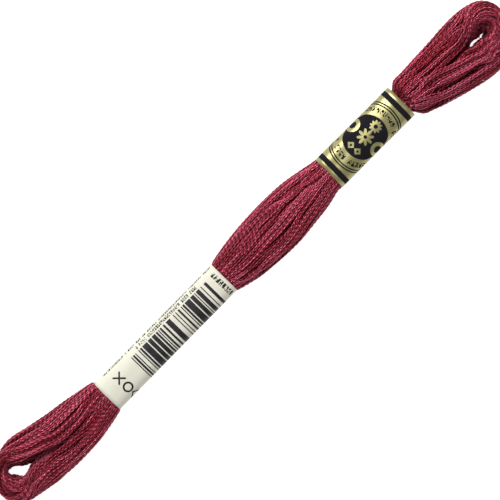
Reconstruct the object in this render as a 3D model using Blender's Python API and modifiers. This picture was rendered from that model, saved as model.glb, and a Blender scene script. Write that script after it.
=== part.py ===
"""A skein of six-strand embroidery floss, lying flat and held by two paper bands.

The thread is wound into a long ring. Its two sides are pressed together inside the bands, swell into
a belly between them, and part at both ends into a loop with a small hole. The skein is one solid: the
main bundles of the ring, each swept once around it and joined. The frame has +X along the skein
towards the gold band, +Z up, and the table at z = 0 under the middle of the skein.
"""

import math
from collections import namedtuple

import bmesh
import bpy
from mathutils import Vector

MM = 0.001

# The two bands, in millimetres: where the middle of each lies, and its outside size.
Band = namedtuple("Band", "name middle_x middle_y yaw_deg length width colour metallic roughness")
BANDS = [
    Band("paper_band_white", -27.45, 0.45, 1.36, 38.2, 8.8, (0.87, 0.86, 0.76), 0.0, 0.6),
    Band("paper_band_gold", 37.00, 1.33, 0.72, 23.4, 9.2, (0.62, 0.52, 0.24), 0.8, 0.4),
]
BAND_HEIGHT = 7.2
BAND_BOTTOM = 0.8
BAND_WALL = 1.0
BAND_SQUARENESS = 2.8  # exponent of the rounded band outline: 2 is an ellipse, more is squarer
BAND_OUTLINE_SIDES = 32
CLEARANCE = 0.3  # between the floss and the paper
CENTRE_HEIGHT = BAND_BOTTOM + BAND_HEIGHT / 2

# Sections around the ring, in millimetres, in the order in which the thread runs through them. Each is
# an upright cut from the inner edge of the ring, at the seam or the loop's hole, to the outer edge.
# split draws the inner bundles away from the outermost ones, and twist_deg turns them all together.
Section = namedtuple("Section", "inner_x inner_y outer_x outer_y low high twist_deg split")
RIGHT_LOOP = [
    Section(49.6, 1.45, 49.6, 6.20, 0.90, 7.9, 0, 0.00),
    Section(55.0, 1.05, 55.0, 6.50, 0.40, 7.8, 4, 0.00),
    Section(62.0, 0.40, 62.0, 7.00, 0.00, 7.5, 10, 0.00),
    Section(68.0, 0.00, 68.0, 7.40, -0.15, 7.2, 16, 0.00),
    Section(70.8, 0.20, 72.0, 7.35, -0.20, 7.0, 18, 0.00),
    Section(72.8, 0.40, 76.0, 6.60, -0.20, 6.8, 20, 0.00),
    Section(74.2, 0.20, 78.9, 4.60, -0.15, 6.6, 20, 0.00),
    Section(74.8, -0.30, 80.0, 1.50, -0.10, 6.5, 18, 0.02),
    Section(74.5, -0.95, 79.3, -2.20, -0.15, 6.5, 14, 0.06),
    Section(73.2, -1.30, 76.9, -6.00, -0.20, 6.6, 10, 0.10),
    Section(71.4, -1.20, 73.4, -8.65, -0.20, 6.7, 6, 0.14),
    Section(68.6, -0.60, 68.6, -9.30, -0.20, 6.8, 4, 0.16),
    Section(62.0, 0.30, 62.0, -8.05, 0.00, 7.2, 2, 0.12),
    Section(55.0, 0.95, 55.0, -6.05, 0.40, 7.6, 0, 0.05),
    Section(49.6, 1.40, 49.6, -3.90, 0.90, 7.9, 0, 0.00),
]
BELLY_LOWER_SIDE = [
    Section(24.4, 1.17, 24.4, -3.20, 0.90, 7.9, 0, 0.00),
    Section(20.0, 1.10, 20.0, -4.25, 0.30, 8.5, 4, 0.00),
    Section(15.0, 1.05, 15.0, -4.95, -0.25, 8.9, 6, 0.00),
    Section(9.0, 0.95, 9.0, -5.60, -0.40, 9.0, 6, 0.00),
    Section(3.0, 0.90, 3.0, -5.40, -0.30, 8.9, 6, 0.00),
    Section(-3.0, 0.85, -3.0, -4.85, 0.20, 8.5, 4, 0.00),
    Section(-7.5, 0.82, -7.5, -3.75, 0.90, 7.9, 0, 0.00),
]
LEFT_LOOP = [
    Section(-47.4, -0.05, -47.4, -4.70, 0.90, 7.9, 0, 0.00),
    Section(-53.5, -0.60, -53.5, -6.05, 0.40, 7.7, 0, 0.00),
    Section(-60.5, -0.30, -60.5, -6.65, 0.00, 7.2, 4, 0.04),
    Section(-66.0, 0.40, -66.0, -6.60, -0.15, 6.8, 8, 0.06),
    Section(-70.4, 0.90, -71.2, -5.85, -0.20, 6.6, 12, 0.04),
    Section(-72.8, 0.10, -76.0, -4.95, -0.20, 6.5, 14, 0.00),
    Section(-74.2, 0.80, -79.0, -2.80, -0.15, 6.5, 14, 0.00),
    Section(-74.9, 1.90, -80.0, 0.80, -0.10, 6.5, 12, 0.00),
    Section(-75.1, 3.10, -79.0, 4.30, -0.15, 6.6, 8, 0.00),
    Section(-73.9, 3.75, -76.3, 7.10, -0.20, 6.8, 4, 0.04),
    Section(-71.8, 2.50, -71.8, 8.60, -0.20, 7.0, 0, 0.08),
    Section(-69.7, 1.40, -67.6, 8.85, -0.15, 7.1, -4, 0.08),
    Section(-61.5, 0.00, -61.5, 7.35, 0.00, 7.4, -6, 0.04),
    Section(-53.5, -0.50, -53.5, 6.10, 0.40, 7.7, -3, 0.00),
    Section(-47.4, 0.05, -47.4, 4.95, 0.90, 7.9, 0, 0.00),
]
BELLY_UPPER_SIDE = [
    Section(-7.5, 0.92, -7.5, 5.50, 0.90, 7.9, 0, 0.00),
    Section(-3.0, 0.95, -3.0, 6.35, 0.20, 8.5, -4, 0.00),
    Section(3.0, 1.00, 3.0, 7.10, -0.30, 8.9, -6, 0.00),
    Section(9.0, 1.05, 9.0, 7.35, -0.40, 9.0, -6, 0.00),
    Section(15.0, 1.15, 15.0, 7.30, -0.25, 8.9, -6, 0.00),
    Section(20.0, 1.20, 20.0, 6.60, 0.30, 8.5, -4, 0.00),
    Section(24.4, 1.27, 24.4, 5.75, 0.90, 7.9, 0, 0.00),
]
STEPS_PER_SECTION = 2

# The bundles of thread, as shares of a section: 0 is its inner or low edge, 1 its outer or high edge.
Bundle = namedtuple("Bundle", "name across up half_width half_height")
BUNDLES = [
    Bundle("top_inner", 0.21, 0.68, 0.19, 0.31),
    Bundle("top_middle", 0.51, 0.69, 0.20, 0.31),
    Bundle("top_outer", 0.82, 0.63, 0.18, 0.33),
    Bundle("bottom_inner", 0.29, 0.30, 0.26, 0.30),
    Bundle("bottom_outer", 0.72, 0.30, 0.27, 0.30),
    Bundle("middle", 0.50, 0.50, 0.38, 0.36),
]
BUNDLE_SIDES = 10
SEAM_GAP = 0.03  # each bundle keeps this share of a section clear of the seam

# The heart fills the seam between the two sides of the ring, from hole to hole, in millimetres. Inside
# the bands it thins with them.
Heart = namedtuple("Heart", "x y half_width low high")
HEART_LEFT = [
    Heart(-69.0, 1.00, 1.2, 1.5, 5.0),
    Heart(-61.0, -0.15, 2.6, 1.0, 6.0),
    Heart(-53.5, -0.55, 2.6, 1.2, 6.6),
    Heart(-47.4, 0.00, 2.4, 1.8, 7.0),
]
HEART_BELLY = [
    Heart(-7.5, 0.87, 2.4, 1.8, 7.0),
    Heart(-3.0, 0.90, 2.9, 1.4, 7.4),
    Heart(9.0, 1.00, 3.4, 1.2, 7.8),
    Heart(20.0, 1.15, 2.9, 1.4, 7.4),
    Heart(24.4, 1.22, 2.4, 1.8, 7.0),
]
HEART_RIGHT = [
    Heart(49.6, 1.42, 2.4, 1.8, 7.0),
    Heart(55.0, 1.00, 2.7, 1.3, 6.7),
    Heart(62.0, 0.35, 2.6, 1.0, 6.2),
    Heart(68.0, -0.30, 1.5, 1.5, 5.2),
]
HEART_NECK_HALF = (1.7, 1.8)  # half its width and height inside a band
HEART_SIDES = 12

FLOOR_BLOCK = (200.0, 60.0, 10.0)
FLOSS_COLOUR = (0.20, 0.028, 0.045)
FLOSS_ROUGHNESS = 0.55
OBJECT_NAME = "embroidery_floss_skein"


def clear_scene():
    for thing in list(bpy.data.objects):
        bpy.data.objects.remove(thing, do_unlink=True)


def new_collection(name):
    collection = bpy.data.collections.new(name)
    bpy.context.scene.collection.children.link(collection)
    return collection


def plain_material(name, colour, metallic, roughness):
    material = bpy.data.materials.new(name)
    material.use_nodes = True
    shader = material.node_tree.nodes["Principled BSDF"]
    shader.inputs["Base Color"].default_value = (*colour, 1.0)
    shader.inputs["Metallic"].default_value = metallic
    shader.inputs["Roughness"].default_value = roughness
    return material


def smooth_through(rows, steps):
    """A Catmull-Rom curve through the rows, all their columns together, with steps to each gap."""
    padded = [rows[0], *rows, rows[-1]]
    found = []
    for a, b, c, d in zip(padded, padded[1:], padded[2:], padded[3:]):
        for step in range(steps):
            t = step / steps
            found.append(Section(*(
                0.5 * (2 * q + (r - p) * t + (2 * p - 5 * q + 4 * r - s) * t**2
                       + (3 * q - p - 3 * r + s) * t**3)
                for p, q, r, s in zip(a, b, c, d)
            )))
    return [*found, rows[-1]]


def band_axis_y(band, x):
    return band.middle_y + math.tan(math.radians(band.yaw_deg)) * (x - band.middle_x)


def neck_section(band, end, side):
    """The thin section just outside one mouth of a band: end is -1 or 1 along X, side -1 or 1 along Y."""
    x = band.middle_x + end * (band.length / 2 + CLEARANCE)
    half_width = band.width / 2 - BAND_WALL - CLEARANCE
    half_height = BAND_HEIGHT / 2 - BAND_WALL - CLEARANCE
    y = band_axis_y(band, x)
    return Section(x, y, x, y + side * half_width,
                   CENTRE_HEIGHT - half_height, CENTRE_HEIGHT + half_height, 0, 0.0)


def ring_sections():
    """Every section around the ring, once around, with straight necks through the bands."""
    white, gold = BANDS
    stretches = [
        (neck_section(gold, 1, 1), RIGHT_LOOP, neck_section(gold, 1, -1)),
        (neck_section(gold, -1, -1), BELLY_LOWER_SIDE, neck_section(white, 1, -1)),
        (neck_section(white, -1, -1), LEFT_LOOP, neck_section(white, -1, 1)),
        (neck_section(white, 1, 1), BELLY_UPPER_SIDE, neck_section(gold, -1, 1)),
    ]
    found = []
    for first, rows, last in stretches:
        found += [first, *smooth_through(rows, STEPS_PER_SECTION), last]
    return found


def loft(name, rings, closed, collection):
    """A tube through rings of points. A closed one meets itself; an open one has flat ends."""
    mesh = bmesh.new()
    layers = [[mesh.verts.new(Vector(point) * MM) for point in ring] for ring in rings]
    sides = len(rings[0])
    pairs = zip(layers, layers[1:] + layers[:1]) if closed else zip(layers, layers[1:])
    for here, there in pairs:
        for k in range(sides):
            mesh.faces.new((here[k], here[(k + 1) % sides], there[(k + 1) % sides], there[k]))
    if not closed:
        mesh.faces.new(layers[0])
        mesh.faces.new(reversed(layers[-1]))
    bmesh.ops.recalc_face_normals(mesh, faces=mesh.faces)
    data = bpy.data.meshes.new(name)
    mesh.to_mesh(data)
    mesh.free()
    thing = bpy.data.objects.new(name, data)
    collection.objects.link(thing)
    return thing


def bundle_place(bundle, section):
    """Where a bundle's middle lies in a section, after the section's split and twist."""
    across = bundle.across
    if bundle.across < 0.7:
        across *= 1 - section.split
    turn = math.radians(section.twist_deg)
    right, above = across - 0.5, bundle.up - 0.5
    across = 0.5 + right * math.cos(turn) - above * math.sin(turn)
    up = 0.5 + right * math.sin(turn) + above * math.cos(turn)
    across = min(max(across, bundle.half_width + SEAM_GAP), 1 - bundle.half_width)
    up = min(max(up, bundle.half_height), 1 - bundle.half_height)
    return across, up


def bundle_ring(bundle, section):
    across, up = bundle_place(bundle, section)
    ring = []
    for k in range(BUNDLE_SIDES):
        angle = 2 * math.pi * (k + 0.5) / BUNDLE_SIDES
        share = across + bundle.half_width * math.cos(angle)
        level = up + bundle.half_height * math.sin(angle)
        ring.append((
            section.inner_x + share * (section.outer_x - section.inner_x),
            section.inner_y + share * (section.outer_y - section.inner_y),
            section.low + level * (section.high - section.low),
        ))
    return ring


def heart_neck(band, end):
    x = band.middle_x + end * (band.length / 2 + CLEARANCE)
    half_width, half_height = HEART_NECK_HALF
    return Heart(x, band_axis_y(band, x), half_width,
                 CENTRE_HEIGHT - half_height, CENTRE_HEIGHT + half_height)


def heart_ring(row):
    middle, half_height = (row.low + row.high) / 2, (row.high - row.low) / 2
    angles = [2 * math.pi * (k + 0.5) / HEART_SIDES for k in range(HEART_SIDES)]
    return [
        (row.x, row.y + row.half_width * math.cos(angle), middle + half_height * math.sin(angle))
        for angle in angles
    ]


def make_bundles(collection):
    """The bundles once around the ring, and the heart between its two sides, overlapping each other."""
    sections = ring_sections()
    for bundle in BUNDLES:
        loft("bundle_" + bundle.name, [bundle_ring(bundle, s) for s in sections], True, collection)
    white, gold = BANDS
    rows = [
        *HEART_LEFT, heart_neck(white, -1), heart_neck(white, 1),
        *HEART_BELLY, heart_neck(gold, -1), heart_neck(gold, 1), *HEART_RIGHT,
    ]
    loft("heart", [heart_ring(row) for row in rows], False, collection)


def make_floor_block(collection):
    """A block whose top is the table, which cuts the low side of the skein flat."""
    mesh = bmesh.new()
    bmesh.ops.create_cube(mesh, size=1.0)
    bmesh.ops.scale(mesh, vec=Vector(FLOOR_BLOCK) * MM, verts=mesh.verts)
    bmesh.ops.translate(mesh, vec=Vector((0, 0, -FLOOR_BLOCK[2] / 2)) * MM, verts=mesh.verts)
    data = bpy.data.meshes.new("floor_block")
    mesh.to_mesh(data)
    mesh.free()
    block = bpy.data.objects.new("floor_block", data)
    collection.objects.link(block)
    return block


def boolean(thing, name, operation, other):
    """The bundles lie along each other for their whole length, which only this solver joins cleanly."""
    modifier = thing.modifiers.new(name, "BOOLEAN")
    modifier.operation = operation
    modifier.solver = "MANIFOLD"
    modifier.object = other


def make_skein(collection, bundles, floor_block):
    """One solid: the first bundle joined with all the others, and cut flat where it rests."""
    first, *others = bundles.objects
    data = first.data.copy()
    data.name = "floss_skein"
    skein = bpy.data.objects.new("floss_skein", data)
    collection.objects.link(skein)
    for other in others:
        boolean(skein, "join_" + other.name, "UNION", other)
    boolean(skein, "rest_flat", "DIFFERENCE", floor_block)
    data.materials.append(plain_material("floss_cotton", FLOSS_COLOUR, 0.0, FLOSS_ROUGHNESS))
    data.shade_smooth()
    return skein


def rounded_outline(width, height):
    """The outline of a band: a rounded rectangle as the curve |y/a|^n + |z/b|^n = 1."""
    power = 2 / BAND_SQUARENESS
    outline = []
    for k in range(BAND_OUTLINE_SIDES):
        angle = 2 * math.pi * (k + 0.5) / BAND_OUTLINE_SIDES
        right, above = math.cos(angle), math.sin(angle)
        outline.append((
            math.copysign(abs(right) ** power, right) * width / 2,
            math.copysign(abs(above) ** power, above) * height / 2,
        ))
    return outline


def make_band(band, collection):
    """A paper sleeve: its outline drawn out along X as an open tube, thickened inwards."""
    mesh = bmesh.new()
    outline = rounded_outline(band.width, BAND_HEIGHT)
    layers = [
        [mesh.verts.new(Vector((end * band.length / 2, y, z)) * MM) for y, z in outline]
        for end in (-1, 1)
    ]
    for k in range(BAND_OUTLINE_SIDES):
        after = (k + 1) % BAND_OUTLINE_SIDES
        mesh.faces.new((layers[0][k], layers[1][k], layers[1][after], layers[0][after]))
    bmesh.ops.recalc_face_normals(mesh, faces=mesh.faces)
    data = bpy.data.meshes.new(band.name)
    mesh.to_mesh(data)
    mesh.free()
    data.materials.append(plain_material(band.name, band.colour, band.metallic, band.roughness))
    data.shade_smooth()
    sleeve = bpy.data.objects.new(band.name, data)
    collection.objects.link(sleeve)
    sleeve.location = Vector((band.middle_x, band.middle_y, CENTRE_HEIGHT)) * MM
    sleeve.rotation_euler = (0.0, 0.0, math.radians(band.yaw_deg))
    wall = sleeve.modifiers.new("wall", "SOLIDIFY")
    wall.thickness = BAND_WALL * MM
    wall.offset = -1.0
    wall.use_even_offset = True
    return sleeve


def hide_guides(collection):
    for thing in collection.objects:
        thing.hide_render = True
        thing.display_type = "WIRE"


def main():
    clear_scene()
    parts = new_collection(OBJECT_NAME)
    bundles = new_collection("bundles")
    cutters = new_collection("cutters")
    make_bundles(bundles)
    floor_block = make_floor_block(cutters)
    make_skein(parts, bundles, floor_block)
    for band in BANDS:
        make_band(band, parts)
    hide_guides(bundles)
    hide_guides(cutters)


main()
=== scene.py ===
"""The looks of a skein of embroidery floss: its thread, its two printed paper bands and a plain studio.

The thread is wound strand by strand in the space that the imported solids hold. Its route is kept as 25
turns of a ring cut into upright sections; in each section the runs of thread are pushed apart like
soft discs until they fill the outline. Lengths are in millimetres until a mesh is made.
"""

import math
from collections import namedtuple

import bpy
import numpy as np
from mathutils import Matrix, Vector
from mathutils.bvhtree import BVHTree

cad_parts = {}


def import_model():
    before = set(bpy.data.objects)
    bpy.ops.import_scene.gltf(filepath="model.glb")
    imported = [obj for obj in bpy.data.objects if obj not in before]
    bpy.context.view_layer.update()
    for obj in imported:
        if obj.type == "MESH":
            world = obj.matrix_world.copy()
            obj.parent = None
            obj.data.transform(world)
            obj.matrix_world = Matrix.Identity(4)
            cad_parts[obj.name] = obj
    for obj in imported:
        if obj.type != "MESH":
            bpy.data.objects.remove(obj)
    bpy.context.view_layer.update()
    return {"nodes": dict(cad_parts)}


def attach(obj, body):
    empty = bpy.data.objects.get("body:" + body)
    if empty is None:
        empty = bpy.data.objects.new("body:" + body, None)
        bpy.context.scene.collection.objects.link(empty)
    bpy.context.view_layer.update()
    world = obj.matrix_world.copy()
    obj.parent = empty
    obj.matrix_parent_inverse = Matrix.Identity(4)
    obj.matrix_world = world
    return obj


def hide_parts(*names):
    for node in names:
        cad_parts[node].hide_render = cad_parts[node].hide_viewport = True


MM = 0.001
SEED = 11

# The winding
TURNS = 25
TURNS_PER_PIECE = 4
SECTION_SPACING = 2.0
FAN_RAYS = 15  # the sections in each loop's turn
PACKING = 0.97  # share of an outline that the runs of thread fill
STRAIGHT_FILL, LOOP_FILL = 0.85, 0.92  # share of a section's box that its rounded outline covers
THREAD_THICKEST = 1.38
SETTLE_ROUNDS = 260
SMOOTHING, SMOOTHING_MORE = 0.25, 0.30  # how much the runs are smoothed in each round, and more at first
STIFFNESS = 0.28  # share of an overlap that two runs give way in each round
SPREAD = 0.004  # how far the runs move out from the middle of a section in each round, as a share
LOOP_SPREAD = 0.012  # the same in a loop's turn and beside its hole
LEAD_DRAW = 0.3  # how far a run in a lead is drawn to the lead's line in each round
LEAD_GAP, LEAD_DEPTHS = 0.62, (0.55, 0.25)  # how far apart and how deep its runs lie, in thicknesses
CLEFT_ROOM, CLEFT_GIVE = 0.45, 0.5  # how far runs keep from a cleft, and the share they move in each round
HIDING_AHEAD, HIDING_ASIDE = 0.25, 0.36  # a run hides another if it is so far ahead and so little aside
OUTLINE_POWER, LOOP_POWER = 2.5, 3.0  # 2 is an ellipse, more is squarer
SLOT_COLUMNS = 5
WANDER = 0.12  # how far a run strays from its place in the winding, as a share of the section

# The thread
STRANDS = 6
STRAND_SIDES = 6
STRAND_SHARE = 0.33  # a strand's thickness, as a share of its thread's
STRAND_ROUNDS = 36
STRAND_PULL = 0.20  # how far a strand is drawn to its place in its thread in each round
LEAD_PULL = 0.3  # the same for the strands of a lead
STRAND_OUT = 0.335  # how far a strand lies from its thread's middle, as a share of the thread's thickness
THREAD_LAY = 48.0  # length in which the six strands go once around each other
LAY_DRIFT, LAY_DRIFT_OVER = 0.4, 60.0  # how many turns they gain or lose, and over what length
ANGLE_STRAY, ANGLE_STRAY_OVER = 0.35, 22.0  # how far a strand strays around its thread, in radians
OUT_STRAY, OUT_STRAY_OVER = 0.04, 15.0  # and from its thread's middle, as a share of the thickness
PLY_LAY = 2.4  # length in which a strand's two plies go once around each other
PLY_DRIFT, PLY_DRIFT_OVER = 1.2, 40.0  # how many turns the plies gain or lose, and over what length
PLY_WAIST = 0.62  # a strand's thickness between its plies, as a share of that across them
BREATHE, BREATHE_OVER = 0.03, 7.0  # how much a strand's radius comes and goes, as a share of its thickness
TONE, TONE_ALONG, TONE_EACH = 0.46, 0.52, 0.36  # a strand's lightness, its shifts, and that of each strand
TONE_STREAK = 6.0  # how long a lighter or darker stretch of a strand is
FULLNESS = 1.12  # strands are made this much thicker than they were packed, so that no gaps show
STEPS_PER_SPAN = 6
SHOWN_SHARE = 0.3  # a stretch of strand is made fine if its ends are seen by more than this

# The paper bands
PAPER = 0.12
PAPER_ROOM = 0.12  # how far inside a band's outside face the threads are packed
STRAND_ROOM = 0.16  # how far inside the lap's inner layer the strands are kept
BAND_SHOWS = 2.5  # how far in from a band's end the strands are still made fine
BAND_POWER = 2.8  # the roundness of a band's section, as for the outlines
BAND_START = -math.pi * 0.62  # the angle round a band where its strip begins
BAND_LAP = 0.62  # the angle by which it passes its own beginning
BAND_RISE = 0.9  # the angle over which it climbs on to itself
LAP_LIFT = PAPER * 1.25
PAPER_STEP, PAPER_LENGTH_STEP = 0.4, 0.8
DENT = 0.022  # the height of each of the slow waves in the paper
DENT_WAVES = 5
BAND_INSET = 0.03  # how far the paper is drawn in, so that its waves stay in the CAD band

# Places in the loops: a point in each hole, the hole's end by the seam, and the seam from hole to hole
LEFT_HOLE = ((-72.9, 1.9), (-70.2, 1.15))
RIGHT_HOLE = ((71.9, -0.55), (69.2, -0.35))
HOLE_LEVEL = 3.3  # the height at which the solid's holes are measured
SEAM = [(-69.5, 1), (-61, -0.25), (-53.5, -0.55), (-47, 0), (-8, 0.87), (9, 1),
        (24.5, 1.22), (49.5, 1.45), (55, 1), (62, 0.35), (68.5, -0.25)]

# The holes are funnels. The y of a hole's edge at some x, and its distance from the hole's middle at some
# degrees around a loop's end: first where the lowest thread is, then where the topmost is
FUNNELS = {
    "upper": [(-72.9, 2.4, 5.2), (-71.5, 1.1, 4.1), (-70.2, 0.4, 3), (69.2, -0.5, 0.4), (70.5, -0.45, 1.1),
              (71.9, -0.7, 2.15)],
    "left": [(90, 0.6, 3.3), (107, 1.1, 3.4), (129, 2, 3.5), (151, 2.7, 3.5), (180, 1.3, 2.7),
             (225, 1, 2.4), (270, 1.45, 2.1)],
    "lower": [(-72.9, 0.45, -0.2), (-71.5, 0.7, 0.2), (-70.2, 1.3, 0.8), (69.2, -0.4, -0.9),
              (70.5, -0.45, -1.05), (71.9, -0.55, -1.25)],
    "right": [(-90, -0.05, 0.7), (-60, -0.05, 1.1), (-30, 0.45, 2.9), (-15, 1, 4.4),
              (10, 0.3, 4.8), (45, 0, 4.2), (90, -0.1, 2.7)],
}
FUNNEL_FROM, FUNNEL_TO = 0.24, 0.72  # the shares of the height between which a funnel opens
LEVELS = (1, 2, 3, 4, 5, 6)  # the heights at which the solid's outlines are measured
ABOVE, BELOW = 30, -5  # heights clear of the solid, from which its top and bottom are measured

# Clefts between bundles of thread, seen from above. Rows of x, y, half width and depth below the top
CLEFTS = [
    [(-70, 2.4, 0.8, 3.2), (-67.5, 1.2, 0.9, 2.8), (-66, 0.6, 0.9, 2.6), (-64, 0, 0.7, 2.4),
     (-62, -0.45, 0.5, 2.6), (-60, -0.65, 0.35, 2.2), (-57, -0.6, 0.25, 1.9), (-52, -0.25, 0.12, 1.2),
     (-48, 0, 0.05, 0.6)],
    [(-73, -4.05, 0.05, 0.6), (-70, -4.15, 0.15, 1.5), (-66, -3.6, 0.15, 1.5), (-62, -3, 0.22, 1.7),
     (-58, -2.7, 0.16, 1.5), (-54, -2, 0.12, 1.2), (-50, -1.6, 0.05, 0.6)],
    [(-72, 6.9, 0.04, 0.5), (-68, 6, 0.1, 1), (-64, 5.5, 0.12, 1), (-58, 5.1, 0.04, 0.5)],
    [(-64.5, 3.2, 0.05, 0.6), (-60, 2.9, 0.15, 1.4), (-55, 2.7, 0.15, 1.4), (-50.5, 2.6, 0.06, 0.6)],
    [(-60, -4.8, 0.04, 0.4), (-56, -4.4, 0.10, 0.9), (-50, -3.8, 0.05, 0.5)],
    [(-71.5, -1.3, 0.05, 0.6), (-69, -0.9, 0.15, 1.2), (-66.5, -0.9, 0.05, 0.6)],
    [(52.5, -2.1, 0.1, 0.8), (56, -3, 0.3, 2.4), (59, -3.7, 0.4, 2.6), (62, -4.5, 0.45, 2.7),
     (65, -4.95, 0.5, 2.8), (68, -5.3, 0.5, 2.8), (72, -6.2, 0.4, 2.4)],
    [(50, 3.6, 0.06, 0.6), (56, 3.4, 0.15, 1.4), (62, 3.2, 0.2, 1.7), (66, 3.8, 0.2, 1.6),
     (69, 4.3, 0.15, 1.2), (72, 4.9, 0.05, 0.5)],
    [(50, 1.5, 0.05, 0.6), (54, 1.6, 0.14, 1.4), (58, 1.55, 0.16, 1.6), (63, 1.5, 0.12, 1.2),
     (66.5, 1.2, 0.04, 0.5)],
    [(52, 0.9, 0.04, 0.5), (55, 0.2, 0.12, 1.2), (58, -0.7, 0.14, 1.3), (61, -1.7, 0.12, 1.2),
     (64, -2.6, 0.04, 0.5)],
    [(56, -5.1, 0.04, 0.4), (62, -6.3, 0.12, 1), (68, -7.1, 0.08, 0.8)],
    [(-2, 3.1, 0.03, 0.4), (6, 3.4, 0.10, 1), (13, 2.6, 0.10, 1), (20, 2.5, 0.03, 0.4)],
    [(-6, -1, 0.03, 0.4), (3, -1.8, 0.10, 1), (12, -1.5, 0.10, 1), (22, -0.6, 0.03, 0.4)],
]

# Bundles of a few runs that lie on top: rows of x and y for their middle line, and how many runs
LEADS = [
    ([(-73.5, 6.2), (-72, 5.3), (-70, 4.2), (-68, 3.2), (-66, 2.35), (-64, 1.6), (-61, 0.7),
      (-57, 0.25), (-52, 0.35)], 4),
    ([(56, 0.3), (58.5, -0.7), (61, -1.9), (63.5, -2.9), (66, -3.7), (68.5, -4.4), (71.5, -5.3)], 4),
]


# ---------------------------------------------------------------- measuring the frame


Sleeve = namedtuple("Sleeve", "name middle yaw length width height")


def sleeve_of(name, node):
    """A CAD band as its middle, its turn about Z, its length and its outside width and height."""
    points = np.array([v.co for v in node.data.vertices]) / MM
    middle = (points.min(0) + points.max(0)) / 2
    left = points[points[:, 0] < points[:, 0].min() + 1.0].mean(0)
    right = points[points[:, 0] > points[:, 0].max() - 1.0].mean(0)
    yaw = math.atan2(right[1] - left[1], right[0] - left[0])
    along = np.array([math.cos(yaw), math.sin(yaw)])
    across = np.array([-along[1], along[0]])
    flat = points[:, :2] - middle[:2]
    return Sleeve(name, middle, yaw, np.ptp(flat @ along), np.ptp(flat @ across), np.ptp(points[:, 2]))


class Probe:
    """Rays against the CAD skein, in millimetres."""

    def __init__(self, node):
        self.tree = BVHTree.FromObject(node, bpy.context.evaluated_depsgraph_get())

    def hit(self, start, direction):
        place = self.tree.ray_cast(Vector(start) * MM, Vector(direction))[0]
        return None if place is None else np.array(place) / MM

    def reach(self, start, direction, far=40.0):
        """How far the solid reaches from start along direction, the most over the levels."""
        found = []
        for level in LEVELS:
            origin = (start[0] + far * direction[0], start[1] + far * direction[1], level)
            place = self.hit(origin, (-direction[0], -direction[1], 0.0))
            if place is not None:
                found.append((place[0] - start[0]) * direction[0] + (place[1] - start[1]) * direction[1])
        return max(found)

    def first(self, start, direction):
        """How far it is along direction from a start in a hole to the hole's edge."""
        place = self.hit((*start, HOLE_LEVEL), (*direction, 0.0))
        return (place[0] - start[0]) * direction[0] + (place[1] - start[1]) * direction[1]

    def top(self, places):
        """The highest level of the solid at some places in plan."""
        found = [self.hit((*place, ABOVE), (0, 0, -1)) for place in places]
        return max(place[2] for place in found if place is not None)

    def bottom(self, places):
        found = [self.hit((*place, BELOW), (0, 0, 1)) for place in places]
        return min(place[2] for place in found if place is not None)


def at(points, x):
    """The y of a polyline of (x, y) points at x."""
    return np.interp(x, [p[0] for p in points], [p[1] for p in points])


def ease(t):
    """A share from 0 to 1 that starts and ends slowly."""
    return t * t * (3 - 2 * t)


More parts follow.
